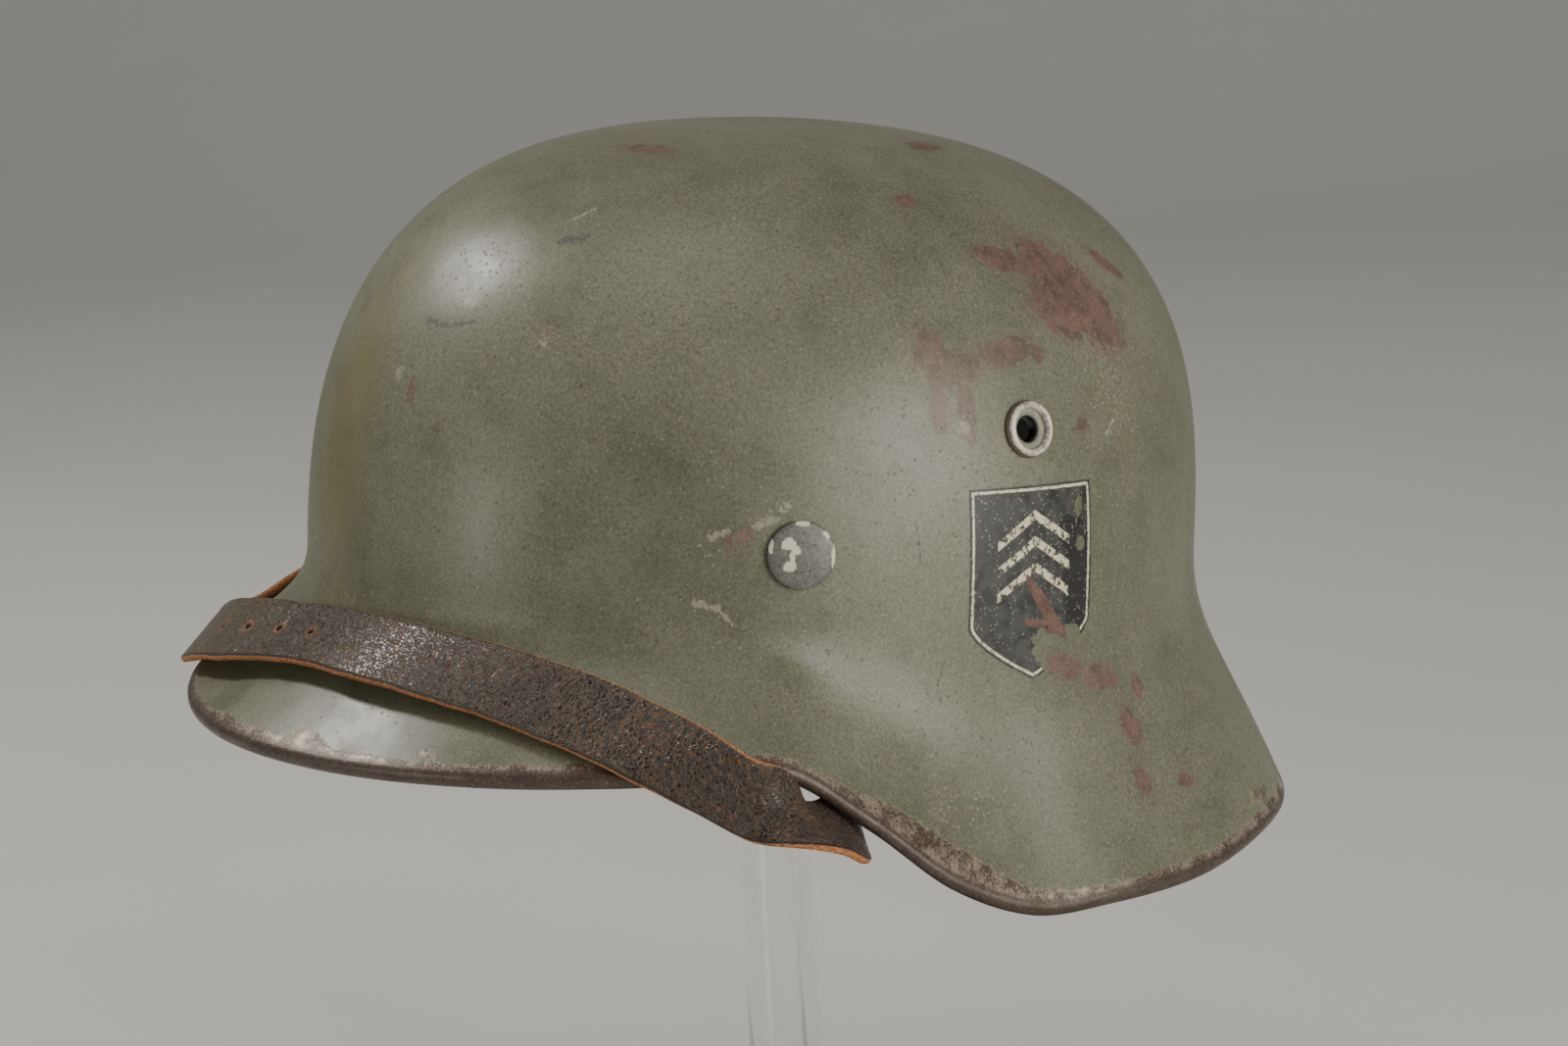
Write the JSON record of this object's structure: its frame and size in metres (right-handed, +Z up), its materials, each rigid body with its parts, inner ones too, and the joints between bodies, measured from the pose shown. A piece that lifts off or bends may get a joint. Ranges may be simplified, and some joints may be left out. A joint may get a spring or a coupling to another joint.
{
  "type": "steel police helmet on a clear post stand",
  "caption": "Pressed steel helmet with flared skirt, rolled rim, side vents, domed rivets and a leather chin strap over the visor, held on a clear post stand.",
  "frame": {"origin": "under the middle of the stand's base, on the axis of its post", "axes": "+Z up, the visor faces -Y, the wearer's left is +X"},
  "size_m": [0.2548, 0.2823, 0.2953],
  "materials": {
    "steel_shell_paint": "worn satin grey green paint with rust patches and a bare steel rim",
    "vent_steel": "paint worn through to pale steel",
    "rivet_paint": "grey green paint flaked to a cream undercoat",
    "hanger_steel": "dull plated steel",
    "strap_leather": "cracked black grain with raw orange brown edges",
    "clear_acrylic": "clear polished acrylic"
  },
  "bodies": {
    "root": {"shell": "steel_shell_paint", "vent_bushing_left": "vent_steel", "vent_bushing_right": "vent_steel", "rivet_left": "rivet_paint", "rivet_right": "rivet_paint", "rivet_rear": "rivet_paint", "strap_hanger_left": "hanger_steel", "strap_hanger_right": "hanger_steel", "chin_strap": "strap_leather", "stand_base": "clear_acrylic", "stand_post": "clear_acrylic", "stand_cap": "clear_acrylic"}
  },
  "joints": []
}
